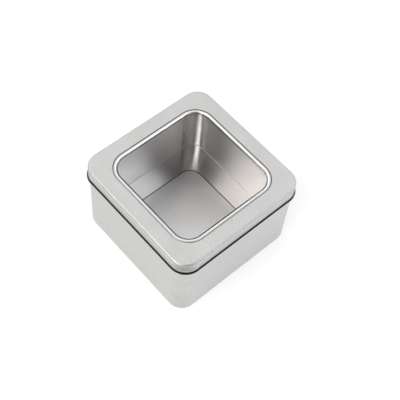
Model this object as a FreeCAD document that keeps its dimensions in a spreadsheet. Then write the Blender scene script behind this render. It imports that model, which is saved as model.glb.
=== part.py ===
import FreeCAD, Part
import math
import os
import Sketcher

# Window lid tin: a drawn square tinplate box and a slip-on lid with a clear window.
# The origin is the middle of the resting face, +Z is up, sizes are millimetres.

SIZES = {
    # The whole tin, and the tinplate that the body and the lid are drawn from.
    "tin_height": 61.5,
    "plate": 0.28,
    # The body: outer width, outer corner, bend round the foot, roll round the mouth and its open angle.
    "body_side": 98.4,
    "body_corner": 10.4,
    "foot_bend": 0.8,
    "mouth_roll": 1.6,
    "mouth_open": 95.0,
    # The floor, raised inside a foot ring: width of the ring, rise and inside bend.
    "ring_width": 5.0,
    "floor_rise": 0.9,
    "floor_bend": 0.22,
    # The bead pressed down into the floor: distance in from the wall, corner and radius.
    "bead_inset": 16.8,
    "bead_corner": 9.5,
    "bead_radius": 0.45,
    # The lid: gap round the body, gap over the mouth roll, bend, skirt, its rolled edge and open angle.
    "lid_fit": 0.52,
    "lid_seat": 0.15,
    "deck_bend": 1.4,
    "skirt_depth": 11.1,
    "skirt_roll": 1.3,
    "skirt_open": 95.0,
    # The window: deck left round it, corner, rolled edge, its open angle, and the pressed line.
    "deck_border": 12.8,
    "window_corner": 11.3,
    "window_roll": 1.5,
    "window_open": 110.0,
    "line_inset": 2.0,
    "line_radius": 0.35,
    # The pane: sheet, gap under and inside the roll, raised middle, inside bend, corner of the border.
    "pane_sheet": 0.35,
    "pane_seat": 0.15,
    "pane_gap": 0.3,
    "pane_rise": 1.0,
    "pane_bend": 0.2,
    "pane_corner": 13.0,
    # The glue frame: gap outside the pressed line, width, and pane border left outside it.
    "glue_gap": 0.57,
    "glue_width": 3.2,
    "glue_edge": 0.4,
}

# Directions in degrees, and sizes that follow from the sheet as formulas for the features.
EAST, NORTH, WEST, SOUTH, FULL_TURN = 0, 90, 180, 270, 360
BODY_HALF = "sizes.body_side / 2"
MOUTH_TOP = "sizes.tin_height - sizes.plate - sizes.lid_seat"
MOUTH_LEVEL = f"{MOUTH_TOP} - sizes.mouth_roll / 2"
MOUTH_TURN = f"{FULL_TURN} - sizes.mouth_open"
BASE_HALF = f"{BODY_HALF} - sizes.foot_bend"
BASE_CORNER = "sizes.body_corner - sizes.foot_bend"
FLOOR_HALF = f"{BODY_HALF} - sizes.ring_width"
FLOOR_CORNER = "sizes.body_corner - sizes.ring_width"
FLOOR_TOP = "sizes.plate + sizes.floor_rise"
BEAD_HALF = f"{BODY_HALF} - sizes.bead_inset"
LID_HALF = f"{BODY_HALF} + sizes.lid_fit + sizes.plate"
LID_CORNER = "sizes.body_corner + sizes.lid_fit + sizes.plate"
DECK_UNDER = "sizes.tin_height - sizes.plate"
SKIRT_LEVEL = "sizes.tin_height - sizes.skirt_depth + sizes.skirt_roll / 2"
SKIRT_TURN = f"{FULL_TURN} - sizes.skirt_open"
WINDOW_HALF = f"{LID_HALF} - sizes.deck_border"
WINDOW_TURN = f"{FULL_TURN} - sizes.window_open"
ROLL_HALF = f"{WINDOW_HALF} + sizes.window_roll / 2"
ROLL_CORNER = "sizes.window_corner + sizes.window_roll / 2"
LINE_HALF = f"{WINDOW_HALF} + sizes.line_inset"
LINE_CORNER = "sizes.window_corner + sizes.line_inset"
PANE_TOP = "sizes.tin_height - sizes.window_roll - sizes.pane_seat"
RAISED_HALF = f"{WINDOW_HALF} - sizes.pane_gap"
RAISED_CORNER = "sizes.window_corner - sizes.pane_gap"
GLUE_INNER = f"{LINE_HALF} + sizes.line_radius + sizes.plate + sizes.glue_gap"
GLUE_HALF = f"{GLUE_INNER} + sizes.glue_width"
GLUE_CORNER = "sizes.pane_corner - sizes.glue_edge"
PANE_HALF = f"{GLUE_HALF} + sizes.glue_edge"

doc = FreeCAD.newDocument("window_lid_tin")
sheet = doc.addObject("Spreadsheet::Sheet", "sizes")
for row, (name, value) in enumerate(SIZES.items(), start=1):
    sheet.set(f"A{row}", name)
    sheet.set(f"B{row}", str(value))
    sheet.setAlias(f"B{row}", name)
doc.recompute()

# How a sketch names its origin, its X axis and the points of an edge.
ORIGIN = (-1, 1)
X_AXIS = -1
START, END, CENTRE = 1, 2, 3
UP = FreeCAD.Vector(0, 0, 1)
SAME_PLACE = 1e-4
# Share of a panel's free step that one inside bend may take.
BEND_SHARE = 0.475


def size(formula):
    """Value of a formula on the sheet, in millimetres or degrees."""
    return float(doc.sizes.evalExpression(formula))


def new_body(label):
    """An empty sub-part; its label names its file."""
    body = doc.addObject("PartDesign::Body", label)
    body.Label = label
    return body


def new_sketch(body, name, role, height="0"):
    """A sketch on one of the body's own origin planes, lifted along the plane's normal by a formula."""
    sketch = body.newObject("Sketcher::SketchObject", name)
    plane = next(item for item in body.Origin.OriginFeatures if item.Role == role)
    sketch.AttachmentSupport = (plane, [""])
    sketch.MapMode = "FlatFace"
    sketch.setExpression("AttachmentOffset.Base.z", height)
    return sketch


def dimension(sketch, name, formula, kind, *where):
    """Adds a dimension of this kind and binds it to the sheet."""
    value = size(formula)
    if kind == "Angle":
        value = math.radians(value)
        formula = f"({formula}) * 1 deg"
    index = sketch.addConstraint(Sketcher.Constraint(kind, *where, value))
    sketch.renameConstraint(index, name)
    sketch.setExpression(f"Constraints.{name}", formula)


def line(start, end):
    """Straight edge between two points of a sketch."""
    return Part.LineSegment(FreeCAD.Vector(*start, 0), FreeCAD.Vector(*end, 0))


def arc(centre, radius, first, last):
    """Arc drawn anticlockwise between two angles in degrees."""
    circle = Part.Circle(FreeCAD.Vector(*centre, 0), UP, radius)
    return Part.ArcOfCircle(circle, math.radians(first), math.radians(last))


def tie(sketch, *constraints):
    """Adds plain geometric constraints, each given as its kind and what it joins."""
    for kind, *where in constraints:
        sketch.addConstraint(Sketcher.Constraint(kind, *where))


def rounded_square(sketch, tag, half, corner):
    """Square with round corners about the origin, which starts in the middle of its +X side."""
    reach, radius = size(half), size(corner)
    run = reach - radius
    side_up = sketch.addGeometry(line((reach, 0), (reach, run)))
    arcs = [sketch.addGeometry(arc((run, run), radius, EAST, NORTH))]
    top = sketch.addGeometry(line((run, reach), (-run, reach)))
    arcs.append(sketch.addGeometry(arc((-run, run), radius, NORTH, WEST)))
    left = sketch.addGeometry(line((-reach, run), (-reach, -run)))
    arcs.append(sketch.addGeometry(arc((-run, -run), radius, WEST, SOUTH)))
    bottom = sketch.addGeometry(line((-run, -reach), (run, -reach)))
    arcs.append(sketch.addGeometry(arc((run, -run), radius, SOUTH, FULL_TURN)))
    side_down = sketch.addGeometry(line((reach, -run), (reach, 0)))
    sides = [side_up, top, left, bottom, side_down]
    for before, turn, after in zip(sides, arcs, sides[1:]):
        tie(sketch, ("Tangent", before, END, turn, START), ("Tangent", turn, END, after, START))
    tie(sketch, ("Coincident", side_down, END, side_up, START), ("PointOnObject", side_up, START, X_AXIS))
    tie(sketch, *[("Vertical", side) for side in (side_up, left, side_down)])
    tie(sketch, *[("Horizontal", side) for side in (top, bottom)])
    tie(sketch, *[("Equal", arcs[0], other) for other in arcs[1:]])
    dimension(sketch, f"{tag}_right", half, "DistanceX", *ORIGIN, side_up, START)
    dimension(sketch, f"{tag}_left", half, "DistanceX", left, START, *ORIGIN)
    dimension(sketch, f"{tag}_back", half, "DistanceY", *ORIGIN, top, START)
    dimension(sketch, f"{tag}_front", half, "DistanceY", bottom, START, *ORIGIN)
    dimension(sketch, f"{tag}_corner", corner, "Radius", arcs[0])


def rolled_wall(sketch, half, level, bend, roll_level, roll, turn, lid):
    """Section of a drawn wall: the bend out of the flat sheet, the upright wall and its rolled edge.

    On the lid the wall hangs from the deck and rolls outward; on the body it stands on the base
    and rolls inward.
    """
    reach, flat, radius = size(half), size(level), size(bend)
    roll_radius, roll_height, plate = size(roll) / 2, size(roll_level), size("sizes.plate")
    span = size(turn)
    bend_centre = (reach - radius, flat - radius if lid else flat + radius)
    bend_angles = (EAST, NORTH) if lid else (SOUTH, FULL_TURN)
    at_flat, at_wall = (END, START) if lid else (START, END)
    roll_centre = (reach - plate + roll_radius if lid else reach - roll_radius, roll_height)
    first = WEST if lid else EAST
    inner_level = flat - plate if lid else flat + plate
    bend_out = sketch.addGeometry(arc(bend_centre, radius, *bend_angles))
    bend_in = sketch.addGeometry(arc(bend_centre, radius - plate, *bend_angles))
    wall_out = sketch.addGeometry(line((reach, bend_centre[1]), (reach, roll_height)))
    wall_in = sketch.addGeometry(line((reach - plate, bend_centre[1]), (reach - plate, roll_height)))
    roll_out = sketch.addGeometry(arc(roll_centre, roll_radius, first, first + span))
    roll_in = sketch.addGeometry(arc(roll_centre, roll_radius - plate, first, first + span))
    joint = sketch.addGeometry(line((bend_centre[0], flat), (bend_centre[0], inner_level)))
    tip = math.radians(first + span)
    tip_out, tip_in = [
        (roll_centre[0] + r * math.cos(tip), roll_centre[1] + r * math.sin(tip))
        for r in (roll_radius, roll_radius - plate)
    ]
    cut_edge = sketch.addGeometry(line(tip_out, tip_in))
    outer_roll, inner_roll = (roll_in, roll_out) if lid else (roll_out, roll_in)
    tie(
        sketch,
        ("Tangent", bend_out, at_wall, wall_out, START),
        ("Tangent", bend_in, at_wall, wall_in, START),
        ("Tangent", wall_out, END, outer_roll, START),
        ("Tangent", wall_in, END, inner_roll, START),
        ("Coincident", bend_out, CENTRE, bend_in, CENTRE),
        ("Coincident", roll_out, CENTRE, roll_in, CENTRE),
        ("Coincident", bend_out, at_flat, joint, START),
        ("Coincident", bend_in, at_flat, joint, END),
        ("Coincident", roll_out, END, cut_edge, START),
        ("Coincident", roll_in, END, cut_edge, END),
        ("Vertical", wall_out),
        ("Vertical", wall_in),
        ("Vertical", joint),
        ("Vertical", bend_out, CENTRE, joint, START),
        ("PointOnObject", roll_out, CENTRE, cut_edge),
    )
    dimension(sketch, "bend", bend, "Radius", bend_out)
    dimension(sketch, "roll", f"{roll} / 2", "Radius", roll_out)
    dimension(sketch, "sheet", "sizes.plate", "Distance", joint)
    dimension(sketch, "face", half, "DistanceX", *ORIGIN, wall_out, START)
    dimension(sketch, "roll_level", roll_level, "DistanceY", *ORIGIN, roll_out, CENTRE)
    dimension(sketch, "turn", turn, "Angle", roll_out)
    if lid:
        dimension(sketch, "level", level, "DistanceY", *ORIGIN, joint, START)
    else:
        tie(sketch, ("PointOnObject", joint, START, X_AXIS))


def rolled_under(sketch, half, level, roll, turn):
    """Section of the window's edge: the deck's sheet rolled down and back under itself."""
    radius, plate, span = size(roll) / 2, size("sizes.plate"), size(turn)
    centre = (size(half), size(level) - radius)
    first = NORTH
    out = sketch.addGeometry(arc(centre, radius, first, first + span))
    inside = sketch.addGeometry(arc(centre, radius - plate, first, first + span))
    over = centre[1] + radius
    joint = sketch.addGeometry(line((centre[0], over), (centre[0], over - plate)))
    tip = math.radians(first + span)
    tip_out, tip_in = [
        (centre[0] + r * math.cos(tip), centre[1] + r * math.sin(tip)) for r in (radius, radius - plate)
    ]
    cut_edge = sketch.addGeometry(line(tip_out, tip_in))
    tie(
        sketch,
        ("Coincident", out, CENTRE, inside, CENTRE),
        ("Coincident", out, START, joint, START),
        ("Coincident", inside, START, joint, END),
        ("Coincident", out, END, cut_edge, START),
        ("Coincident", inside, END, cut_edge, END),
        ("Vertical", joint),
        ("Vertical", out, CENTRE, joint, START),
        ("PointOnObject", out, CENTRE, cut_edge),
    )
    dimension(sketch, "roll", f"{roll} / 2", "Radius", out)
    dimension(sketch, "sheet", "sizes.plate", "Distance", joint)
    dimension(sketch, "centre", half, "DistanceX", *ORIGIN, out, CENTRE)
    dimension(sketch, "level", level, "DistanceY", *ORIGIN, joint, START)
    dimension(sketch, "turn", turn, "Angle", out)


def half_round(sketch, half, level, radius):
    """Section of a pressed line: a half disc that hangs below a level."""
    middle, top, reach = size(half), size(level), size(radius)
    bowl = sketch.addGeometry(arc((middle, top), reach, WEST, FULL_TURN))
    top_line = sketch.addGeometry(line((middle + reach, top), (middle - reach, top)))
    tie(
        sketch,
        ("Coincident", bowl, END, top_line, START),
        ("Coincident", bowl, START, top_line, END),
        ("Horizontal", top_line),
        ("PointOnObject", bowl, CENTRE, top_line),
    )
    dimension(sketch, "radius", radius, "Radius", bowl)
    dimension(sketch, "middle", half, "DistanceX", *ORIGIN, bowl, CENTRE)
    dimension(sketch, "level", level, "DistanceY", *ORIGIN, bowl, CENTRE)


def pad(body, name, sketch, length):
    """Raises a sketch straight up."""
    feature = body.newObject("PartDesign::Pad", name)
    feature.Profile = sketch
    feature.setExpression("Length", length)
    doc.recompute()
    return feature


def carried(body, kind, name, section, path):
    """Carries a section along a path, added to the body or cut from it."""
    feature = body.newObject(f"PartDesign::{kind}", name)
    feature.Profile = section
    feature.Spine = path
    doc.recompute()
    return feature


def ring_edges(shape, level, half):
    """Names of the edges that lie at one level on a rounded square of this half width."""
    names = []
    for number, edge in enumerate(shape.Edges, start=1):
        box = edge.BoundBox
        flat = abs(box.ZMin - level) < SAME_PLACE and abs(box.ZMax - level) < SAME_PLACE
        reach = max(abs(box.XMin), abs(box.XMax), abs(box.YMin), abs(box.YMax))
        if flat and abs(reach - half) < SAME_PLACE:
            names.append(f"Edge{number}")
    return names


def round_edges(body, name, base, rings, radius):
    """Rounds the rings of edges, each given as the formulas of its level and half width."""
    edges = [edge for level, half in rings for edge in ring_edges(base.Shape, size(level), size(half))]
    feature = body.newObject("PartDesign::Fillet", name)
    feature.Base = (base, edges)
    feature.setExpression("Radius", radius)
    doc.recompute()
    return feature


def raise_panel(body, name, under, sheet_size, half, corner, rise, bend):
    """Presses the middle of a flat sheet up by its rise, at its own thickness, with bends on both sides.

    The inside bend is limited by the step's own height.
    """
    over = f"{under} + {sheet_size}"
    under_half = f"{half} - {sheet_size}"
    top = new_sketch(body, f"{name}_top", "XY_Plane", over)
    rounded_square(top, "panel", half, corner)
    raised = pad(body, f"{name}_raised", top, rise)
    below = new_sketch(body, f"{name}_below", "XY_Plane", under)
    rounded_square(below, "hollow", under_half, f"{corner} - {sheet_size}")
    hollow = body.newObject("PartDesign::Pocket", f"{name}_hollow")
    hollow.Profile = below
    hollow.Reversed = True
    hollow.setExpression("Length", rise)
    doc.recompute()
    if hollow.Shape.Volume >= raised.Shape.Volume:
        raise RuntimeError(f"{name}: the hollow under the panel cut nothing")
    outer_rings = [(f"{over} + {rise}", half), (under, under_half)]
    inside = f"min({bend}; {BEND_SHARE} * ({rise} - {sheet_size}))"
    outer = round_edges(body, f"{name}_outer_bend", hollow, outer_rings, f"{inside} + {sheet_size}")
    inner_rings = [(over, half), (f"{under} + {rise}", under_half)]
    round_edges(body, f"{name}_inner_bend", outer, inner_rings, inside)


def press_line(body, name, level, half, corner, radius):
    """Presses a half-round line down into a flat sheet of tinplate: bulge below, channel above."""
    path = new_sketch(body, f"{name}_path", "XY_Plane", level)
    rounded_square(path, "line", half, corner)
    bulge = new_sketch(body, f"{name}_bulge_section", "XZ_Plane")
    half_round(bulge, half, level, f"{radius} + sizes.plate")
    carried(body, "AdditivePipe", f"{name}_bulge", bulge, path)
    channel = new_sketch(body, f"{name}_channel_section", "XZ_Plane")
    half_round(channel, half, level, radius)
    carried(body, "SubtractivePipe", f"{name}_channel", channel, path)


# Tin body: one sheet drawn to a box that stands on a foot ring, with its mouth rolled inward.
# Its floor is raised inside the ring and stiffened by a bead, a half-round line pressed into it.
tin_body = new_body("tin_body")
base_outline = new_sketch(tin_body, "base_outline", "XY_Plane")
rounded_square(base_outline, "base", BASE_HALF, BASE_CORNER)
pad(tin_body, "base", base_outline, "sizes.plate")
body_path = new_sketch(tin_body, "body_path", "XY_Plane")
rounded_square(body_path, "wall", BODY_HALF, "sizes.body_corner")
body_section = new_sketch(tin_body, "body_section", "XZ_Plane")
rolled_wall(
    body_section, BODY_HALF, "0", "sizes.foot_bend", MOUTH_LEVEL, "sizes.mouth_roll", MOUTH_TURN, lid=False
)
carried(tin_body, "AdditivePipe", "walls", body_section, body_path)
raise_panel(
    tin_body, "floor", "0", "sizes.plate", FLOOR_HALF, FLOOR_CORNER, "sizes.floor_rise", "sizes.floor_bend"
)
press_line(tin_body, "bead", FLOOR_TOP, BEAD_HALF, "sizes.bead_corner", "sizes.bead_radius")

# Lid shell: deck, bend and skirt with its edge rolled outward, and the window's edge rolled under.
lid_shell = new_body("lid_shell")
deck_outline = new_sketch(lid_shell, "deck_outline", "XY_Plane", DECK_UNDER)
rounded_square(deck_outline, "deck", f"{LID_HALF} - sizes.deck_bend", f"{LID_CORNER} - sizes.deck_bend")
rounded_square(deck_outline, "window", ROLL_HALF, ROLL_CORNER)
pad(lid_shell, "deck", deck_outline, "sizes.plate")
skirt_path = new_sketch(lid_shell, "skirt_path", "XY_Plane", "sizes.tin_height")
rounded_square(skirt_path, "skirt", LID_HALF, LID_CORNER)
skirt_section = new_sketch(lid_shell, "skirt_section", "XZ_Plane")
rolled_wall(
    skirt_section, LID_HALF, "sizes.tin_height", "sizes.deck_bend", SKIRT_LEVEL,
    "sizes.skirt_roll", SKIRT_TURN, lid=True
)
carried(lid_shell, "AdditivePipe", "skirt", skirt_section, skirt_path)
window_path = new_sketch(lid_shell, "window_path", "XY_Plane", "sizes.tin_height")
rounded_square(window_path, "roll", ROLL_HALF, ROLL_CORNER)
window_section = new_sketch(lid_shell, "window_section", "XZ_Plane")
rolled_under(window_section, ROLL_HALF, "sizes.tin_height", "sizes.window_roll", WINDOW_TURN)
carried(lid_shell, "AdditivePipe", "window_roll", window_section, window_path)
press_line(lid_shell, "line", "sizes.tin_height", LINE_HALF, LINE_CORNER, "sizes.line_radius")

# Window pane: a clear sheet whose raised middle stands in the window; its border lies under the roll.
window_pane = new_body("window_pane")
pane_outline = new_sketch(window_pane, "pane_outline", "XY_Plane", f"{PANE_TOP} - sizes.pane_sheet")
rounded_square(pane_outline, "pane", PANE_HALF, "sizes.pane_corner")
pad(window_pane, "border", pane_outline, "sizes.pane_sheet")
raise_panel(
    window_pane, "middle", f"{PANE_TOP} - sizes.pane_sheet", "sizes.pane_sheet", RAISED_HALF, RAISED_CORNER,
    "sizes.pane_rise", "sizes.pane_bend"
)

# Glue frame: fills the space between the pane's border and the underside of the deck.
window_adhesive = new_body("window_adhesive")
glue_outline = new_sketch(window_adhesive, "glue_outline", "XY_Plane", PANE_TOP)
rounded_square(glue_outline, "outer", GLUE_HALF, GLUE_CORNER)
rounded_square(glue_outline, "inner", GLUE_INNER, f"{GLUE_CORNER} - sizes.glue_width")
pad(window_adhesive, "glue", glue_outline, f"{DECK_UNDER} - ({PANE_TOP})")

doc.recompute()
for item in doc.Objects:
    if "Invalid" in item.State or "Error" in item.State:
        raise RuntimeError(f"{item.Name} failed: {item.State}")
sub_parts = [tin_body, lid_shell, window_pane, window_adhesive]
for body in sub_parts:
    if body.Shape.isNull() or not body.Shape.isValid() or len(body.Shape.Solids) != 1:
        raise RuntimeError(f"{body.Label} is not one valid solid")

os.makedirs("parts", exist_ok=True)
for body in sub_parts:
    body.Shape.exportStep(f"parts/{body.Label}.step")
    print(body.Label, "volume", round(body.Shape.Volume, 2), "mm3")
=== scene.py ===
import bpy
import math
import numpy as np
from mathutils import Matrix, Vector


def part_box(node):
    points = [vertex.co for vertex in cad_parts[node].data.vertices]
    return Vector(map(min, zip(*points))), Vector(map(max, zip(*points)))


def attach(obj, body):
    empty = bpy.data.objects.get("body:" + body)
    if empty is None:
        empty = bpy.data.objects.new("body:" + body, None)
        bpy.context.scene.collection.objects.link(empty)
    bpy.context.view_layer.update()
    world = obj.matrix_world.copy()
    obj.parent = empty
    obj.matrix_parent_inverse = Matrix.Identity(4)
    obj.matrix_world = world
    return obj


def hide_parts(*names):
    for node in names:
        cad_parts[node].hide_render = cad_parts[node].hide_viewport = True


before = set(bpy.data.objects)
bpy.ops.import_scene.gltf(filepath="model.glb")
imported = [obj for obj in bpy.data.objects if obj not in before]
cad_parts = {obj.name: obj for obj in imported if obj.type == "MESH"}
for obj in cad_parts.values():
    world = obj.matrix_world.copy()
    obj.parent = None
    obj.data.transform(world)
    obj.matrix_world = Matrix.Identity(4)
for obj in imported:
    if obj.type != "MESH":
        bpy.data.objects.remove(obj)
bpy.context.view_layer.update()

# Tin body
# A box drawn in one stroke from a sheet of tinplate: satin outside, with a level grain on its inner walls
# and a bright floor. It stands on a foot ring, and a bead is pressed round its floor. The mouth is rolled
# inward, so that no cut edge shows.
MM = 0.001
PLATE = 0.28 * MM
BODY_HALF = 49.2 * MM
BODY_CORE = 38.8 * MM
FOOT_BEND = 0.8 * MM
MOUTH_ROLL = 0.8 * MM
MOUTH_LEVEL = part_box("tin_body")[1].z - MOUTH_ROLL
MOUTH_TURN = 265.0
FLOOR_HALF = 44.2 * MM
FLOOR_RISE = 0.9 * MM
FLOOR_BEND = 0.22 * MM
BEAD_HALF = 32.4 * MM
BEAD_CORE = 22.9 * MM
BEAD_RADIUS = 0.45 * MM
PANEL_FADE = 20.0 * MM
CAP_HALF = 4.0 * MM

# Shares of burnish and of painted shade, from none at 0 to full at 1
FLOOR_BURNISH = 0.8
PANEL_BURNISH = 0.5
FOOT_BURNISH = 0.5
FOOT_SHADE = 0.05
CORNER_DULL = 0.6
MIDDLE_PLAIN = 0.45
BODY_CORNER_SHADE = 0.06

# How finely flats, bends and rolls are divided
SIDE_STEPS = 8
PANEL_STEPS = 24
CORNER_STEPS = 32
BEND_STEPS = 12
TIGHT_STEPS = 6
WIDE_STEPS = 8
LINE_STEPS = 16
ROLL_STEPS = 36
INNER_ROLL_STEPS = 24
HUG = 0.004
SAME_PLACE = 1e-7
SHARP_ANGLE = math.radians(40)

# Columns of a section's rows, and the numbers of the body's three finishes
REACH, CORE, LEVEL, BURNISH, PAINTED_SHADE = range(5)
OUTSIDE, WALLS, FLOOR = range(3)


def spot(reach, core, level, burnish=0.0, painted_shade=0.0):
    """One row of a section.

    Reach and level place it, core sets its corners, and two masks tell how far it is burnished and how much
    painted shade it carries.
    """
    return np.array([reach, core, level, burnish, painted_shade])


def run(start, end, steps=SIDE_STEPS):
    """Straight stretch of a section: each row is a mix of its two ends.

    The rows are even in the middle. One more lies close to each end and keeps the flat beside a bend flat.
    """
    middle = np.linspace(0, 1, steps)[1:-1]
    share = np.concatenate([[0.0, HUG], middle, [1 - HUG, 1.0]])[:, None]
    return (1 - share) * start + share * end


def bend(centre, radius, first, last, core, burnish=0.0, steps=BEND_STEPS):
    """Arc of a section: its centre, plus the radius times the cosine in reach and the sine in level."""
    angle = np.radians(np.linspace(first, last, steps + 1))
    rows = np.tile(spot(centre[0], core, centre[1], burnish), (len(angle), 1))
    rows[:, REACH] += radius * np.cos(angle)
    rows[:, LEVEL] += radius * np.sin(angle)
    return rows


def pressed_line(middle, level, reach, core, way, painted_shade=0.0):
    """Trough with soft shoulders across a flat: its depth is the reach times half of one plus a cosine.

    The painted shade mask is full in its middle and fades to its shoulders with the fourth power of the way
    across.
    """
    across = np.linspace(-1, 1, LINE_STEPS + 1) * way
    share = (1 + np.cos(math.pi * across)) / 2
    rows = np.tile(spot(middle, core, level), (len(across), 1))
    rows[:, REACH] += reach * across
    rows[:, LEVEL] -= reach * share
    rows[:, PAINTED_SHADE] = painted_shade * (1 - across ** 4)
    return rows


def step_under(half, core, under, sheet, rise, inside_bend):
    """Two bends under the step of a pressed-up sheet, from its raised middle out to its flat border."""
    outer_bend = inside_bend + sheet
    edge = half - sheet
    upper = (edge - inside_bend, under + rise - inside_bend)
    lower = (edge + outer_bend, under + outer_bend)
    return np.vstack([
        bend(upper, inside_bend, 90, 0, core, steps=TIGHT_STEPS),
        bend(lower, outer_bend, 180, 270, core, steps=WIDE_STEPS),
    ])


def step_over(half, core, under, sheet, rise, inside_bend):
    """Two bends over the same step, from the flat border in to the raised middle."""
    outer_bend = inside_bend + sheet
    lower = (half + inside_bend, under + sheet + inside_bend)
    upper = (half - outer_bend, under + sheet + rise - outer_bend)
    return np.vstack([
        bend(lower, inside_bend, 270, 180, core, steps=TIGHT_STEPS),
        bend(upper, outer_bend, 0, 90, core, steps=WIDE_STEPS),
    ])


def square_path():
    """One turn round a square, as two arrays: the place on a square of half width 1, and the way outward.

    Along a side the place moves and the way stays. Round a corner the place stays and the way makes
    a quarter turn.
    """
    middle = np.linspace(-1, 1, SIDE_STEPS)[1:-1]
    along = np.concatenate([[-1.0, -1 + HUG], middle, [1 - HUG]])
    turn = np.linspace(0, math.pi / 2, CORNER_STEPS, endpoint=False)
    place = np.column_stack([
        np.ones(len(along) + len(turn)),
        np.concatenate([along, np.ones_like(turn)]),
    ])
    way = np.column_stack([
        np.concatenate([np.ones_like(along), np.cos(turn)]),
        np.concatenate([np.zeros_like(along), np.sin(turn)]),
    ])
    quarter = np.array([[0, 1], [-1, 0]])
    quarters = [np.linalg.matrix_power(quarter, count) for count in range(4)]
    places = np.vstack([place @ turned for turned in quarters])
    ways = np.vstack([way @ turned for turned in quarters])
    return places, ways


def drawn_piece(name, rows, capped=False, finish=None, dulled=0.0, plain=0.0, painted_corner_shade=0.0):
    """Mesh of a section that is carried round a square.

    Each point is core * place + (reach - core) * way, at the row's level, so that a row is a square with
    round corners whose radius is reach less core. A capped piece begins and ends with a flat middle, and any
    other closes on itself. The finish of a row is the number of its material. Dulled is the share of its
    burnish that is lost in the corners, and the last share is painted shade that is added there: both grow
    with the sine of twice the angle. Plain is the share of its burnish that is lost in the middle of each
    side: it falls off to the ends with the square of the way along.
    """
    outline = rows[:, [REACH, CORE, LEVEL]]
    step = np.abs(np.diff(outline, axis=0)).max(axis=1)
    keep = np.concatenate([[True], step > SAME_PLACE])
    if not capped and np.abs(outline[0] - outline[-1]).max() < SAME_PLACE:
        keep[-1] = False
    shares = [np.broadcast_to(share, len(rows))[keep, None] for share in (dulled, plain, painted_corner_shade)]
    dulled, plain, painted_corner_shade = shares
    rows = rows[keep]
    place, way = square_path()
    count = len(place)
    corner_radius = rows[:, REACH] - rows[:, CORE]
    flat = rows[:, CORE, None, None] * place + corner_radius[:, None, None] * way
    level = np.broadcast_to(rows[:, LEVEL, None, None], flat.shape[:2] + (1,))
    points = np.concatenate([flat, level], axis=2).reshape(-1, 3)
    strips = len(rows) - 1 if capped else len(rows)
    lower = np.arange(strips)[:, None] * count
    upper = (np.arange(strips)[:, None] + 1) % len(rows) * count
    here = np.arange(count)
    ahead = np.roll(here, -1)
    quads = np.stack([lower + here, lower + ahead, upper + ahead, upper + here], axis=2).reshape(-1, 4)
    faces = quads.tolist()
    if capped:
        faces.append(here[::-1].tolist())
        faces.append(((len(rows) - 1) * count + here).tolist())
    mesh = bpy.data.meshes.new(name)
    mesh.from_pydata(points.tolist(), [], faces)
    mesh.shade_smooth()
    mesh.set_sharp_from_angle(angle=SHARP_ANGLE)
    in_corner = np.abs(2 * way[:, 0] * way[:, 1])
    in_middle = 1 - np.abs(place).min(axis=1) ** 2
    burnish = rows[:, BURNISH, None] * (1 - dulled * in_corner - plain * in_middle)
    # Painted shade: the rows' own shade plus the painted shade added in the corners
    painted_shade = np.minimum(rows[:, PAINTED_SHADE, None] + painted_corner_shade * in_corner, 1.0)
    for label, values in (("burnish", burnish), ("painted_shade", painted_shade)):
        mask = mesh.attributes.new(label, "FLOAT", "POINT")
        mask.data.foreach_set("value", values.ravel().astype(np.float32))
    if finish is not None:
        finish = finish[keep]
        number = np.repeat(finish[:strips], count)
        if capped:
            number = np.concatenate([number, [finish[0], finish[-1]]])
        mesh.polygons.foreach_set("material_index", number.astype(np.int32))
    mesh.update()
    piece = bpy.data.objects.new(name, mesh)
    bpy.context.scene.collection.objects.link(piece)
    return piece


foot = BODY_HALF - FOOT_BEND
inner_half = BODY_HALF - PLATE
roll_middle = (BODY_HALF - MOUTH_ROLL, MOUTH_LEVEL)
floor_top = FLOOR_RISE + PLATE
floor_under = step_under(FLOOR_HALF, BODY_CORE, 0, PLATE, FLOOR_RISE, FLOOR_BEND)
floor_over = step_over(FLOOR_HALF, BODY_CORE, 0, PLATE, FLOOR_RISE, FLOOR_BEND)
bead_under = pressed_line(BEAD_HALF, FLOOR_RISE, BEAD_RADIUS, BEAD_CORE, 1)
# The bead's trough on the floor carries full painted shade, a dark line.
bead_over = pressed_line(BEAD_HALF, floor_top, BEAD_RADIUS, BEAD_CORE, -1, painted_shade=1.0)
outside_rows = np.vstack([
    run(spot(CAP_HALF, CAP_HALF / 2, FLOOR_RISE), bead_under[0]),
    bead_under,
    run(bead_under[-1], floor_under[0]),
    floor_under,
    run(floor_under[-1], spot(foot, BODY_CORE, 0)),
    bend((foot, FOOT_BEND), FOOT_BEND, 270, 360, BODY_CORE),
    run(spot(BODY_HALF, BODY_CORE, FOOT_BEND), spot(BODY_HALF, BODY_CORE, MOUTH_LEVEL)),
    bend(roll_middle, MOUTH_ROLL, 0, MOUTH_TURN, BODY_CORE, burnish=1.0, steps=ROLL_STEPS),
])
inner_foot = bend((foot, FOOT_BEND), FOOT_BEND - PLATE, 360, 270, BODY_CORE)
# Painted shade in the inner foot's bend, which tones down the light it mirrors.
inner_foot[1:-1, PAINTED_SHADE] = FOOT_SHADE
wall_rows = np.vstack([
    bend(roll_middle, MOUTH_ROLL - PLATE, MOUTH_TURN, 0, BODY_CORE, steps=INNER_ROLL_STEPS),
    run(spot(inner_half, BODY_CORE, MOUTH_LEVEL), spot(inner_half, BODY_CORE, FOOT_BEND)),
    inner_foot,
])
floor_rows = np.vstack([
    run(spot(foot, BODY_CORE, PLATE), floor_over[0]),
    floor_over,
    run(floor_over[-1], bead_over[0]),
    bead_over,
    run(bead_over[-1], spot(CAP_HALF, CAP_HALF / 2, floor_top), PANEL_STEPS),
])
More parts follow.
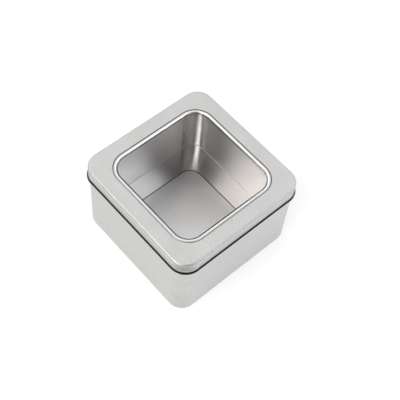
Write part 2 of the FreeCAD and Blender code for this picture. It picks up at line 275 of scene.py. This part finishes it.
# Drawing burnishes the walls, but less in their corners, in the middle of each side and in the foot's bend.
# It burnishes the floor from the walls to the bead, and inside the bead this fades out.
wall_rows[:, BURNISH] = 1.0
wall_rows[-len(inner_foot):, BURNISH] = FOOT_BURNISH
from_bead = np.clip((BEAD_HALF - floor_rows[:, REACH]) / PANEL_FADE, 0, 1)
panel_burnish = PANEL_BURNISH * (1 - from_bead)
floor_rows[:, BURNISH] = np.where(floor_rows[:, REACH] > BEAD_HALF, FLOOR_BURNISH, panel_burnish)
body_rows = np.vstack([outside_rows, wall_rows, floor_rows])
body_finish = np.repeat([OUTSIDE, WALLS, FLOOR], [len(outside_rows), len(wall_rows), len(floor_rows)])
on_outer_wall = (body_finish == OUTSIDE) & (body_rows[:, REACH] == BODY_HALF)
tin_body = drawn_piece(
    "tin_body_skin",
    body_rows,
    capped=True,
    finish=body_finish,
    dulled=CORNER_DULL * (body_finish == WALLS),
    plain=MIDDLE_PLAIN * (body_finish == WALLS),
    # The outer walls are darker in their corners: painted shade.
    painted_corner_shade=BODY_CORNER_SHADE * on_outer_wall,
)

# Looks of the plate: its clouds and grain, the tone and roughness of its painted shade, and how far the
# drawn walls spread the light
CLOUD_SCALE = 90.0
CLOUD_DETAIL = 3.0
CLOUD_SHARE = 0.12
GRAIN_SCALE = 1300.0
GRAIN_DETAIL = 2.0
GRAIN_DEPTH = 0.02 * MM
NOISE_LOW = 0.3
NOISE_HIGH = 0.7
# Tone and roughness where shade is painted on
PAINTED_SHADE_TONE = (0.03, 0.028, 0.027)
PAINTED_SHADE_ROUGHNESS = 0.6
ACROSS_GRAIN = 0.9
QUARTER_TURN = 0.25


def tinplate_grain():
    """Node group of the sheet's own looks: soft clouds in its tone, and a fine grain from the rolling mill.

    The tone is multiplied by one more or less than the cloud's share, as the mixed noise goes up or down.
    The roughness moves by its own spread with the clouds alone, and the height is the grain.
    """
    group = bpy.data.node_groups.new("tinplate_grain", "ShaderNodeTree")
    nodes, links = group.nodes, group.links
    for label, kind, side in (
        ("Tone", "NodeSocketColor", "INPUT"),
        ("Cloud", "NodeSocketFloat", "INPUT"),
        ("Roughness", "NodeSocketFloat", "INPUT"),
        ("Rough Spread", "NodeSocketFloat", "INPUT"),
        ("Color", "NodeSocketColor", "OUTPUT"),
        ("Roughness", "NodeSocketFloat", "OUTPUT"),
        ("Height", "NodeSocketFloat", "OUTPUT"),
    ):
        group.interface.new_socket(label, in_out=side, socket_type=kind)
    given = nodes.new("NodeGroupInput").outputs
    result = nodes.new("NodeGroupOutput").inputs
    place = nodes.new("ShaderNodeTexCoord")

    def noise(scale, detail):
        """Noise that is fixed to the piece."""
        texture = nodes.new("ShaderNodeTexNoise")
        texture.inputs["Scale"].default_value = scale
        texture.inputs["Detail"].default_value = detail
        links.new(place.outputs["Object"], texture.inputs["Vector"])
        return texture.outputs["Fac"]

    def maths(operation, first, second):
        """Sum, difference or product of two sockets, or of a socket and a number."""
        node = nodes.new("ShaderNodeMath")
        node.operation = operation
        for socket, source in zip(node.inputs, (first, second)):
            if isinstance(source, float):
                socket.default_value = source
            else:
                links.new(source, socket)
        return node.outputs["Value"]

    def spread(value, middle, reach):
        """Noise led to a range: from the middle less the reach up to the middle plus the reach."""
        ranged = nodes.new("ShaderNodeMapRange")
        ranged.inputs["From Min"].default_value = NOISE_LOW
        ranged.inputs["From Max"].default_value = NOISE_HIGH
        links.new(value, ranged.inputs["Value"])
        links.new(maths("SUBTRACT", middle, reach), ranged.inputs["To Min"])
        links.new(maths("ADD", middle, reach), ranged.inputs["To Max"])
        return ranged.outputs["Result"]

    clouds = noise(CLOUD_SCALE, CLOUD_DETAIL)
    grain = noise(GRAIN_SCALE, GRAIN_DETAIL)
    mixed = maths("ADD", maths("MULTIPLY", clouds, CLOUD_SHARE), maths("MULTIPLY", grain, 1 - CLOUD_SHARE))
    tint = nodes.new("ShaderNodeVectorMath")
    tint.operation = "SCALE"
    links.new(given["Tone"], tint.inputs[0])
    links.new(spread(mixed, 1.0, given["Cloud"]), tint.inputs["Scale"])
    links.new(tint.outputs["Vector"], result["Color"])
    links.new(spread(clouds, given["Roughness"], given["Rough Spread"]), result["Roughness"])
    links.new(grain, result["Height"])
    return group


GRAIN = tinplate_grain()


def bare_material(name):
    """New material, with the nodes and links of its tree and the shader that they feed."""
    material = bpy.data.materials.new(name)
    material.use_nodes = True
    tree = material.node_tree
    return material, tree.nodes, tree.links, tree.nodes["Principled BSDF"]


def tinplate(name, tone, burnished_tone, roughness, burnished_roughness, cloud, rough_spread, relief):
    """Metal sheet with the mill's grain.

    The burnish mask leads to its burnished look, and the painted shade mask darkens and dulls it wherever
    shade is painted on: in pressed lines, bends and corners.
    """
    material, nodes, links, shader = bare_material(name)
    shader.inputs["Metallic"].default_value = 1.0
    sheet = nodes.new("ShaderNodeGroup")
    sheet.node_tree = GRAIN
    sheet.inputs["Tone"].default_value = (*tone, 1)
    sheet.inputs["Cloud"].default_value = cloud
    sheet.inputs["Roughness"].default_value = roughness
    sheet.inputs["Rough Spread"].default_value = rough_spread
    gloss = sheet.outputs["Roughness"]
    colour = sheet.outputs["Color"]
    # Each mask leads roughness and tone to its own: burnish to a smooth sheet, painted shade to a dull
    # near-black.
    for label, masked_roughness, masked_tone in (
        ("burnish", burnished_roughness, burnished_tone),
        ("painted_shade", PAINTED_SHADE_ROUGHNESS, PAINTED_SHADE_TONE),
    ):
        mask = nodes.new("ShaderNodeAttribute")
        mask.attribute_name = label
        smoothed = nodes.new("ShaderNodeMix")
        smoothed.inputs["B"].default_value = masked_roughness
        links.new(mask.outputs["Fac"], smoothed.inputs["Factor"])
        links.new(gloss, smoothed.inputs["A"])
        gloss = smoothed.outputs["Result"]
        tinted = nodes.new("ShaderNodeMix")
        tinted.data_type = "RGBA"
        below, above = (socket for socket in tinted.inputs if socket.type == "RGBA")
        above.default_value = (*masked_tone, 1)
        links.new(mask.outputs["Fac"], tinted.inputs["Factor"])
        links.new(colour, below)
        colour = next(socket for socket in tinted.outputs if socket.type == "RGBA")
    links.new(gloss, shader.inputs["Roughness"])
    links.new(colour, shader.inputs["Base Color"])
    bump = nodes.new("ShaderNodeBump")
    bump.inputs["Strength"].default_value = relief
    bump.inputs["Distance"].default_value = GRAIN_DEPTH
    links.new(sheet.outputs["Height"], bump.inputs["Height"])
    links.new(bump.outputs["Normal"], shader.inputs["Normal"])
    return material


# The satin's burnished rolls are smoother and much lighter in tone: burnish together with a painted
# highlight.
SATIN = tinplate(
    "satin_tinplate",
    tone=(0.59, 0.59, 0.58),
    burnished_tone=(0.92, 0.92, 0.91),
    roughness=0.42,
    burnished_roughness=0.2,
    cloud=0.16,
    rough_spread=0.03,
    relief=0.25,
)
DRAWN = tinplate(
    "drawn_tinplate",
    tone=(0.93, 0.91, 0.895),
    burnished_tone=(0.92, 0.9, 0.885),
    roughness=0.6,
    burnished_roughness=0.26,
    cloud=0.06,
    rough_spread=0.01,
    relief=0.08,
)
BRIGHT = tinplate(
    "bright_tinplate",
    tone=(0.97, 0.96, 0.95),
    burnished_tone=(0.92, 0.9, 0.89),
    roughness=0.5,
    burnished_roughness=0.15,
    cloud=0.06,
    rough_spread=0.01,
    relief=0.08,
)
# The drawn walls have a level grain, which spreads the light up and down more than sideways.
drawn_shader = DRAWN.node_tree.nodes["Principled BSDF"]
drawn_shader.inputs["Anisotropic"].default_value = ACROSS_GRAIN
drawn_shader.inputs["Anisotropic Rotation"].default_value = QUARTER_TURN
level_grain = DRAWN.node_tree.nodes.new("ShaderNodeTangent")
level_grain.direction_type = "RADIAL"
level_grain.axis = "Z"
DRAWN.node_tree.links.new(level_grain.outputs["Tangent"], drawn_shader.inputs["Tangent"])
for sheet_finish in (SATIN, DRAWN, BRIGHT):
    tin_body.data.materials.append(sheet_finish)
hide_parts("tin_body")
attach(tin_body, "tin")

# Lid shell
# Tinplate drawn to a shallow cap. Its skirt ends in an outward roll, and the window punched in its deck
# has its edge rolled under, with a fine line pressed round it.
LID_HALF = 50.0 * MM
LID_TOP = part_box("window_adhesive")[1].z + PLATE
DECK_BEND = 1.4 * MM
SKIRT_ROLL = 0.65 * MM
SKIRT_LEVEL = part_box("lid_shell")[0].z + SKIRT_ROLL
SKIRT_TURN = 265.0
WINDOW_HALF = 37.2 * MM
WINDOW_CORE = 25.9 * MM
WINDOW_ROLL = 0.75 * MM
WINDOW_TURN = 250.0
LINE_HALF = 39.2 * MM
LINE_RADIUS = 0.35 * MM
# Painted shade past the pressed line's outer shoulder, in its groove and on the top of the skirt's roll
LINE_SHADE = 0.25 * MM
LINE_DARK = 0.9
SKIRT_SHADE = 1.0 * MM
SHADE_FADE = 0.4 * MM
SHADED_ROLL_ROWS = 6
SKIRT_BURNISH = 0.15
# Faint painted shade on the skirt, painted shade in the skirt's corners, and painted shade on the deck's
# bend
SKIRT_PAINTED_SHADE = 0.08
SKIRT_CORNER_SHADE = 0.38
BEND_PAINTED_SHADE = 0.2
LID_OUTSIDE, LID_UNDERSIDE = range(2)

skirt_middle = (LID_HALF - PLATE + SKIRT_ROLL, SKIRT_LEVEL)
window_middle = (WINDOW_HALF + WINDOW_ROLL, LID_TOP - WINDOW_ROLL)
deck_edge = LID_HALF - DECK_BEND
deck_under = LID_TOP - PLATE
skirt_top = LID_TOP - DECK_BEND
skirt_inside = LID_HALF - PLATE
groove = pressed_line(LINE_HALF, LID_TOP, LINE_RADIUS, WINDOW_CORE, -1)
# Painted shade on the outer side of the groove; it fades out past the shoulder.
groove[groove[:, REACH] > LINE_HALF, PAINTED_SHADE] = LINE_DARK
ridge = pressed_line(LINE_HALF, deck_under, LINE_RADIUS, WINDOW_CORE, 1)
line_edge = spot(LINE_HALF + LINE_RADIUS + LINE_SHADE, WINDOW_CORE, LID_TOP)
top_bend = bend((deck_edge, skirt_top), DECK_BEND, 0, 90, BODY_CORE)
# Painted shade on the deck's bend, which tones down its highlight.
top_bend[1:-1, PAINTED_SHADE] = BEND_PAINTED_SHADE
# The skirt is painted dark in the groove above its roll, and so are the roll's last rows, which face this
# groove: painted shade.
# Above it a faint painted shade fades out towards the deck.
shaded_to = SKIRT_LEVEL + SKIRT_ROLL + SKIRT_SHADE
skirt_foot = spot(LID_HALF, BODY_CORE, SKIRT_LEVEL, painted_shade=1.0)
shade_end = spot(LID_HALF, BODY_CORE, shaded_to, painted_shade=1.0)
fade_end = spot(LID_HALF, BODY_CORE, shaded_to + SHADE_FADE, painted_shade=SKIRT_PAINTED_SHADE)
outer_roll = bend(skirt_middle, SKIRT_ROLL, 180, 180 + SKIRT_TURN, BODY_CORE, SKIRT_BURNISH, ROLL_STEPS)
outer_roll[-SHADED_ROLL_ROWS:, PAINTED_SHADE] = LINE_DARK
top_rows = np.vstack([
    run(skirt_foot, shade_end),
    run(fade_end, spot(LID_HALF, BODY_CORE, skirt_top)),
    top_bend,
    run(spot(deck_edge, BODY_CORE, LID_TOP), line_edge),
    groove,
    run(groove[-1], spot(window_middle[0], WINDOW_CORE, LID_TOP, burnish=1.0)),
    bend(window_middle, WINDOW_ROLL, 90, 90 + WINDOW_TURN, WINDOW_CORE, burnish=1.0, steps=ROLL_STEPS),
])
under_lid_rows = np.vstack([
    bend(window_middle, WINDOW_ROLL - PLATE, 90 + WINDOW_TURN, 90, WINDOW_CORE, steps=INNER_ROLL_STEPS),
    run(spot(window_middle[0], WINDOW_CORE, deck_under), ridge[0]),
    ridge,
    run(ridge[-1], spot(deck_edge, BODY_CORE, deck_under)),
    bend((deck_edge, skirt_top), DECK_BEND - PLATE, 90, 0, BODY_CORE),
    run(spot(skirt_inside, BODY_CORE, skirt_top), spot(skirt_inside, BODY_CORE, SKIRT_LEVEL)),
])
skirt_roll_rows = np.vstack([
    outer_roll,
    bend(skirt_middle, SKIRT_ROLL - PLATE, 180 + SKIRT_TURN, 180, BODY_CORE, steps=INNER_ROLL_STEPS),
])
lid_rows = np.vstack([top_rows, under_lid_rows, skirt_roll_rows, top_rows[:1]])
lid_finish = np.full(len(lid_rows), LID_OUTSIDE)
lid_finish[len(top_rows):len(top_rows) + len(under_lid_rows)] = LID_UNDERSIDE
on_skirt = (lid_finish == LID_OUTSIDE) & (lid_rows[:, REACH] == LID_HALF)
# The skirt is darker in its corners: painted shade.
lid_shell = drawn_piece("lid_shell_skin", lid_rows, finish=lid_finish, painted_corner_shade=SKIRT_CORNER_SHADE * on_skirt)
for sheet_finish in (SATIN, BRIGHT):
    lid_shell.data.materials.append(sheet_finish)
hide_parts("lid_shell")
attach(lid_shell, "lid")

# Window pane
# A sheet of clear plastic, formed so that its middle stands up in the window.
# Its border lies under the rolled edge and is glued to the deck.
PANE_SHEET = 0.35 * MM
PANE_UNDER, PANE_TOP = (corner.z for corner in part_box("window_pane"))
PANE_RISE = PANE_TOP - PANE_UNDER - PANE_SHEET
PANE_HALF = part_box("window_pane")[1].x
PANE_CORNER = 13.0 * MM
PANE_CORE = PANE_HALF - PANE_CORNER
PANE_BEND = 0.2 * MM
PANE_PLAY = 0.3 * MM
RAISED_HALF = WINDOW_HALF - PANE_PLAY
CUT_EDGE_STEPS = 3
CLEAR_TONE = (0.99, 0.99, 0.99)
# Painted shade in the bends of the pane's raised edge
EDGE_SHADE_TONE = (0.05, 0.05, 0.055)
WAVE_SCALE = 40.0
SMOOTHEST = 0.01
ROUGHEST = 0.04
# Lower than real plastic's index, which keeps the pane's gloss faint
PANE_INDEX = 1.2

pane_under = step_under(RAISED_HALF, WINDOW_CORE, PANE_UNDER, PANE_SHEET, PANE_RISE, PANE_BEND)
pane_over = step_over(RAISED_HALF, WINDOW_CORE, PANE_UNDER, PANE_SHEET, PANE_RISE, PANE_BEND)
# The bends of the raised edge are painted dark: painted shade.
pane_over[1:-1, PAINTED_SHADE] = 1.0
cut_foot = spot(PANE_HALF, PANE_CORE, PANE_UNDER)
cut_top = spot(PANE_HALF, PANE_CORE, PANE_UNDER + PANE_SHEET)
pane_rows = np.vstack([
    run(spot(CAP_HALF, CAP_HALF / 2, PANE_UNDER + PANE_RISE), pane_under[0]),
    pane_under,
    run(pane_under[-1], cut_foot),
    run(cut_foot, cut_top, CUT_EDGE_STEPS),
    run(cut_top, pane_over[0]),
    pane_over,
    run(pane_over[-1], spot(CAP_HALF, CAP_HALF / 2, PANE_TOP)),
])
window_pane = drawn_piece("window_pane_sheet", pane_rows, capped=True)


def clear_plastic():
    """Clear sheet, with painted shade in the bends of its raised edge.

    It is a little wavy: its roughness runs between two small values with a coarse noise.
    """
    material, nodes, links, shader = bare_material("clear_plastic")
    edge = nodes.new("ShaderNodeAttribute")
    edge.attribute_name = "painted_shade"
    tone = nodes.new("ShaderNodeValToRGB")
    tone.color_ramp.elements[0].color = (*CLEAR_TONE, 1)
    tone.color_ramp.elements[1].color = (*EDGE_SHADE_TONE, 1)
    links.new(edge.outputs["Fac"], tone.inputs["Fac"])
    links.new(tone.outputs["Color"], shader.inputs["Base Color"])
    shader.inputs["IOR"].default_value = PANE_INDEX
    shader.inputs["Transmission Weight"].default_value = 1.0
    place = nodes.new("ShaderNodeTexCoord")
    waves = nodes.new("ShaderNodeTexNoise")
    waves.inputs["Scale"].default_value = WAVE_SCALE
    links.new(place.outputs["Object"], waves.inputs["Vector"])
    gloss = nodes.new("ShaderNodeMapRange")
    gloss.inputs["To Min"].default_value = SMOOTHEST
    gloss.inputs["To Max"].default_value = ROUGHEST
    links.new(waves.outputs["Fac"], gloss.inputs["Value"])
    links.new(gloss.outputs["Result"], shader.inputs["Roughness"])
    return material


window_pane.data.materials.append(clear_plastic())
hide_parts("window_pane")
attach(window_pane, "lid")

# Glue frame
# A milky bead of glue between the pane's border and the underside of the deck.
# It is drawn in a little at its sides, as glue is when it sets.
GLUE_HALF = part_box("window_adhesive")[1].x
GLUE_LOW, GLUE_HIGH = (corner.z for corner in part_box("window_adhesive"))
GLUE_WIDTH = 3.2 * MM
GLUE_SAG = 0.2 * MM
GLUE_STEPS = 12
GLUE_TONE = (0.62, 0.61, 0.57)
BUBBLE_TONE = (0.78, 0.77, 0.73)
BUBBLE_SCALE = 900.0
GLUE_ROUGHNESS = 0.45

rise = np.linspace(0, 1, GLUE_STEPS + 1)
drawn_in = GLUE_SAG * np.sin(math.pi * rise)
outer_side = np.tile(spot(GLUE_HALF, PANE_CORE, GLUE_LOW), (len(rise), 1))
outer_side[:, LEVEL] += (GLUE_HIGH - GLUE_LOW) * rise
inner_side = outer_side.copy()
outer_side[:, REACH] -= drawn_in
inner_side[:, REACH] += drawn_in - GLUE_WIDTH
glue_rows = np.vstack([
    outer_side,
    run(outer_side[-1], inner_side[-1]),
    inner_side[::-1],
    run(inner_side[0], outer_side[0]),
])
glue_frame = drawn_piece("glue_frame", glue_rows)


def milky_glue():
    """Soft milky plastic with small bubbles of lighter tone."""
    material, nodes, links, shader = bare_material("milky_glue")
    place = nodes.new("ShaderNodeTexCoord")
    bubbles = nodes.new("ShaderNodeTexNoise")
    bubbles.inputs["Scale"].default_value = BUBBLE_SCALE
    links.new(place.outputs["Object"], bubbles.inputs["Vector"])
    tone = nodes.new("ShaderNodeValToRGB")
    tone.color_ramp.elements[0].color = (*GLUE_TONE, 1)
    tone.color_ramp.elements[1].color = (*BUBBLE_TONE, 1)
    links.new(bubbles.outputs["Fac"], tone.inputs["Fac"])
    links.new(tone.outputs["Color"], shader.inputs["Base Color"])
    shader.inputs["Roughness"].default_value = GLUE_ROUGHNESS
    return material


glue_frame.data.materials.append(milky_glue())
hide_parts("window_adhesive")
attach(glue_frame, "lid")

# Studio
# White paper under the tin, in a pale room that is warm on the left and cool on the right. The room is dark
# in a strip that runs overhead from where the picture is taken, which the bright inside mirrors, and white
# at the horizon, so that every view has a white background.
PAPER_HALF = 3.0
PAPER_TONE = 0.42
PAPER_LIFT = 0.57
PAPER_ROUGHNESS = 0.9
WARM = (1.0, 0.975, 0.955)
COOL = (0.93, 0.97, 1.03)
WHITE = (1.0, 1.0, 1.0)

# Strengths of the room's lights, and their azimuths, elevations and half widths in degrees
STRIP_AZIMUTH = 6
STRIP_LEFT = 12
STRIP_RIGHT = 18
STRIP_SOFT = 14
LEFT_SIDE = 1.04
RIGHT_SIDE = 1.04
BACK_AZIMUTH = 195
BACK_ELEVATION = 54
BACK_FULL = 30
BACK_NONE = 62
BACK_LIGHT = 0.94
LEFT_AZIMUTH = -40
LEFT_ELEVATION = 48
LEFT_FULL = 12
LEFT_NONE = 19
LEFT_LIGHT = 6.5
RIGHT_AZIMUTH = 90
RIGHT_ELEVATION = 30
RIGHT_FULL = 12
RIGHT_NONE = 34
RIGHT_LIGHT = 0.75
HORIZON_FULL = 6
HORIZON_NONE = 14
HORIZON_LIGHT = 1.0
VIEW_AZIMUTH = 42.57
VIEW_ELEVATION = 58.24


def way_to(azimuth, elevation):
    """Unit vector towards an azimuth, counted from the camera's own, and an elevation, both in degrees."""
    turn = math.radians(VIEW_AZIMUTH + azimuth)
    tilt = math.radians(elevation)
    return np.array([math.sin(turn) * math.cos(tilt), -math.cos(turn) * math.cos(tilt), math.sin(tilt)])


# The paper's glow is seen by the camera, in gloss and through glass, and it lights nothing else.
floor_mesh = bpy.data.meshes.new("floor")
ends = np.array([[-1, -1, 0], [1, -1, 0], [1, 1, 0], [-1, 1, 0]]) * PAPER_HALF
floor_mesh.from_pydata(ends.tolist(), [], [[0, 1, 2, 3]])
floor = bpy.data.objects.new("floor", floor_mesh)
bpy.context.scene.collection.objects.link(floor)
paper, paper_nodes, paper_links, paper_shader = bare_material("white_paper")
paper_shader.inputs["Base Color"].default_value = (PAPER_TONE, PAPER_TONE, PAPER_TONE, 1)
paper_shader.inputs["Roughness"].default_value = PAPER_ROUGHNESS
paper_shader.inputs["Specular IOR Level"].default_value = 0.0
paper_shader.inputs["Emission Color"].default_value = (*WHITE, 1)
rays = paper_nodes.new("ShaderNodeLightPath")
seen = paper_nodes.new("ShaderNodeMath")
seen.operation = "MAXIMUM"
shown = paper_nodes.new("ShaderNodeMath")
shown.operation = "MAXIMUM"
lift = paper_nodes.new("ShaderNodeMath")
lift.operation = "MULTIPLY"
lift.inputs[1].default_value = PAPER_LIFT
paper_links.new(rays.outputs["Is Camera Ray"], seen.inputs[0])
paper_links.new(rays.outputs["Is Glossy Ray"], seen.inputs[1])
paper_links.new(seen.outputs["Value"], shown.inputs[0])
paper_links.new(rays.outputs["Is Transmission Ray"], shown.inputs[1])
paper_links.new(shown.outputs["Value"], lift.inputs[0])
paper_links.new(lift.outputs["Value"], paper_shader.inputs["Emission Strength"])
floor_mesh.materials.append(paper)

room = bpy.data.worlds.new("room")
bpy.context.scene.world = room
room.use_nodes = True
room_nodes = room.node_tree.nodes
room_links = room.node_tree.links
looking = room_nodes.new("ShaderNodeTexCoord")


def lit_patch(so_far, way, full, none, strength, tint):
    """Adds a round patch of light to the room so far.

    The light is full to one angle from the patch's middle, none from another on, and smooth between them.
    """
    towards = room_nodes.new("ShaderNodeVectorMath")
    towards.operation = "DOT_PRODUCT"
    towards.inputs[1].default_value = way.tolist()
    room_links.new(looking.outputs["Generated"], towards.inputs[0])
    share = room_nodes.new("ShaderNodeMapRange")
    share.interpolation_type = "SMOOTHSTEP"
    share.inputs["From Min"].default_value = math.cos(math.radians(none))
    share.inputs["From Max"].default_value = math.cos(math.radians(full))
    share.inputs["To Max"].default_value = strength
    room_links.new(towards.outputs["Value"], share.inputs["Value"])
    light = room_nodes.new("ShaderNodeVectorMath")
    light.operation = "MULTIPLY_ADD"
    light.inputs[1].default_value = tint
    room_links.new(share.outputs["Result"], light.inputs[0])
    if so_far is not None:
        room_links.new(so_far, light.inputs[2])
    return light.outputs["Vector"]


to_left = way_to(STRIP_AZIMUTH - 90, 0)
to_right = way_to(STRIP_AZIMUTH + 90, 0)
to_back_light = way_to(BACK_AZIMUTH, BACK_ELEVATION)
to_left_light = way_to(LEFT_AZIMUTH, LEFT_ELEVATION)
to_right_light = way_to(RIGHT_AZIMUTH, RIGHT_ELEVATION)
straight_down = np.array([0, 0, -1.0])
left_none = 90 - STRIP_LEFT
right_none = 90 - STRIP_RIGHT
left_side = lit_patch(None, to_left, left_none - STRIP_SOFT, left_none, LEFT_SIDE, WARM)
both_sides = lit_patch(left_side, to_right, right_none - STRIP_SOFT, right_none, RIGHT_SIDE, COOL)
with_back = lit_patch(both_sides, to_back_light, BACK_FULL, BACK_NONE, BACK_LIGHT, WHITE)
with_left = lit_patch(with_back, to_left_light, LEFT_FULL, LEFT_NONE, LEFT_LIGHT, WARM)
whole_room = lit_patch(with_left, to_right_light, RIGHT_FULL, RIGHT_NONE, RIGHT_LIGHT, COOL)
horizon = lit_patch(None, straight_down, 90 + HORIZON_FULL, 90 + HORIZON_NONE, HORIZON_LIGHT, WHITE)
room_light = room_nodes.new("ShaderNodeVectorMath")
room_light.operation = "MAXIMUM"
room_links.new(whole_room, room_light.inputs[0])
room_links.new(horizon, room_light.inputs[1])
room_links.new(room_light.outputs["Vector"], room_nodes["Background"].inputs["Color"])

# Camera
# It stands where the picture was taken from, turned a little about its own line of sight.
# Its place follows from the pixel at which the middle of the deck is seen.
IMAGE_SIDE = 400
FOCAL_PIXELS = 876.73
VIEW_ROLL = math.radians(7.135)
VIEW_DISTANCE = 552.01 * MM
DECK_PIXEL = (192.41, 172.89)
SENSOR_WIDTH = 36.0
NEAREST = 10.0 * MM

back = way_to(0, VIEW_ELEVATION)
level_right = way_to(90, 0)
level_up = np.cross(back, level_right)
right = math.cos(VIEW_ROLL) * level_right + math.sin(VIEW_ROLL) * level_up
up = -math.sin(VIEW_ROLL) * level_right + math.cos(VIEW_ROLL) * level_up
aside = (DECK_PIXEL[0] - IMAGE_SIDE / 2) * VIEW_DISTANCE / FOCAL_PIXELS
above = (IMAGE_SIDE / 2 - DECK_PIXEL[1]) * VIEW_DISTANCE / FOCAL_PIXELS
stand = np.array([0, 0, LID_TOP]) + VIEW_DISTANCE * back - aside * right - above * up
lens = bpy.data.cameras.new("camera")
lens.sensor_width = SENSOR_WIDTH
lens.lens = FOCAL_PIXELS / IMAGE_SIDE * SENSOR_WIDTH
lens.clip_start = NEAREST
camera = bpy.data.objects.new("camera", lens)
bpy.context.scene.collection.objects.link(camera)
camera.matrix_world = Matrix(np.vstack([np.column_stack([right, up, back, stand]), [0, 0, 0, 1]]).tolist())
bpy.context.scene.camera = camera
bpy.context.scene.view_settings.view_transform = "Standard"
